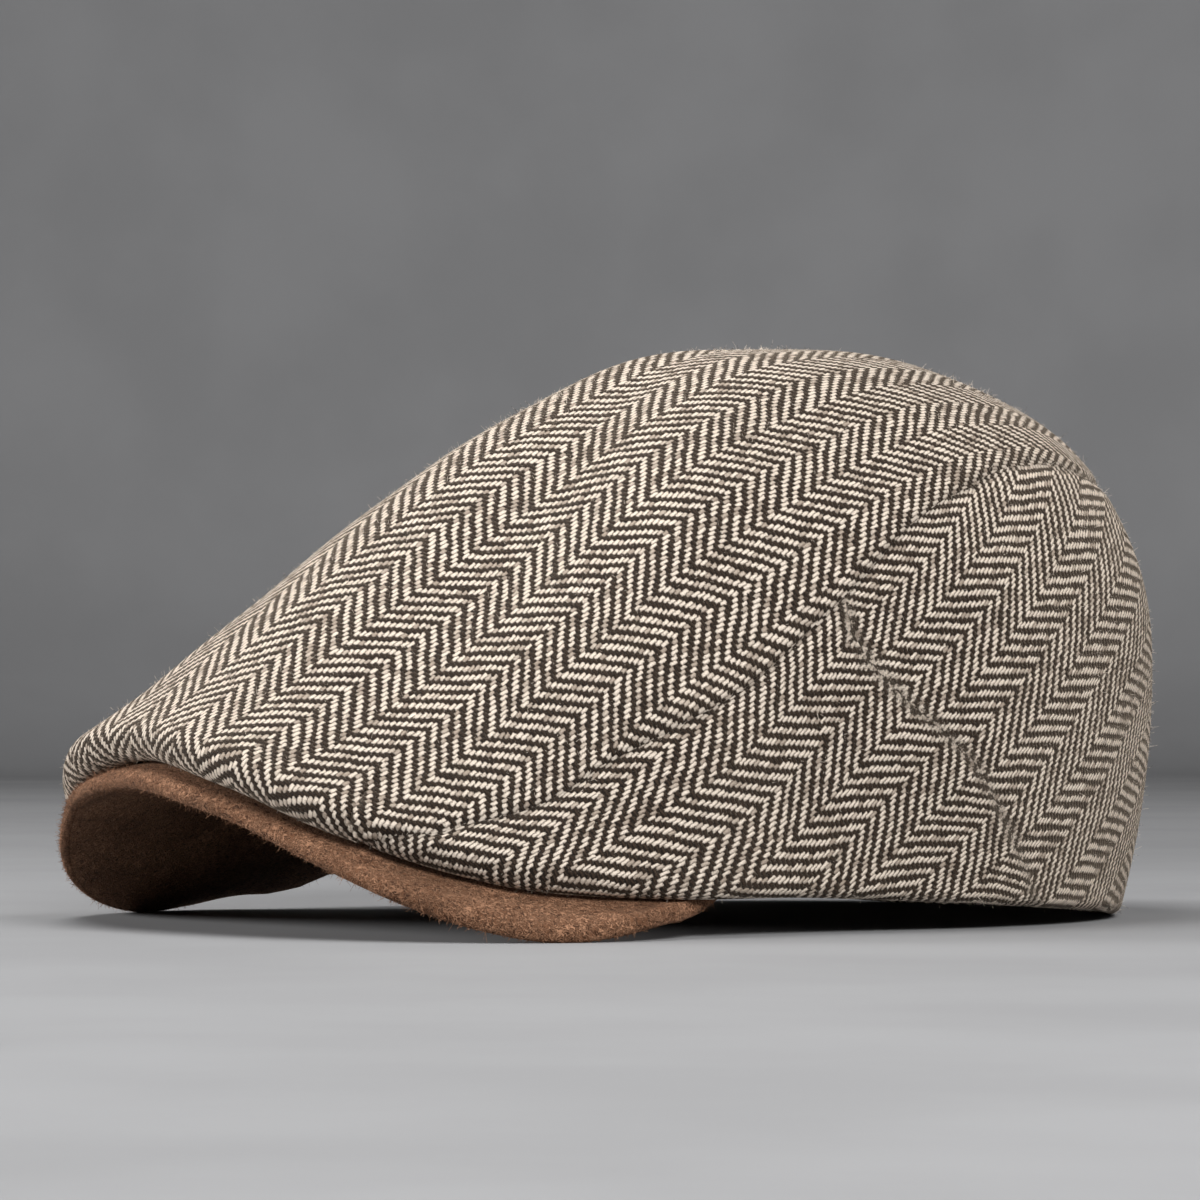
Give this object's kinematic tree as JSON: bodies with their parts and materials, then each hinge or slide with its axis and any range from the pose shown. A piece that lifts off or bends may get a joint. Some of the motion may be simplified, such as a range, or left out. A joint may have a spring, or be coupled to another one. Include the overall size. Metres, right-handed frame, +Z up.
{
  "type": "flat cap",
  "caption": "Herringbone wool flat cap with a long sloping crown of seamed panels that rolls over a short, strongly curved suede peak, resting on its peak and rear hem.",
  "frame": {"origin": "centre of the cap's bounding box, at the floor it rests on", "axes": "+Z up, -Y towards the front of the peak, +X towards the wearer's left"},
  "size_m": [0.1984, 0.2694, 0.136],
  "materials": {
    "wool": "cream and dark brown herringbone wool, matt and slightly hairy",
    "suede": "warm mid-brown suede, matt, short nap"
  },
  "bodies": {
    "root": {"top_panel": "wool", "side_panel_left": "wool", "side_panel_right": "wool", "back_panel": "wool", "peak_cover": "suede", "peak_under_cover": "suede"}
  },
  "joints": []
}
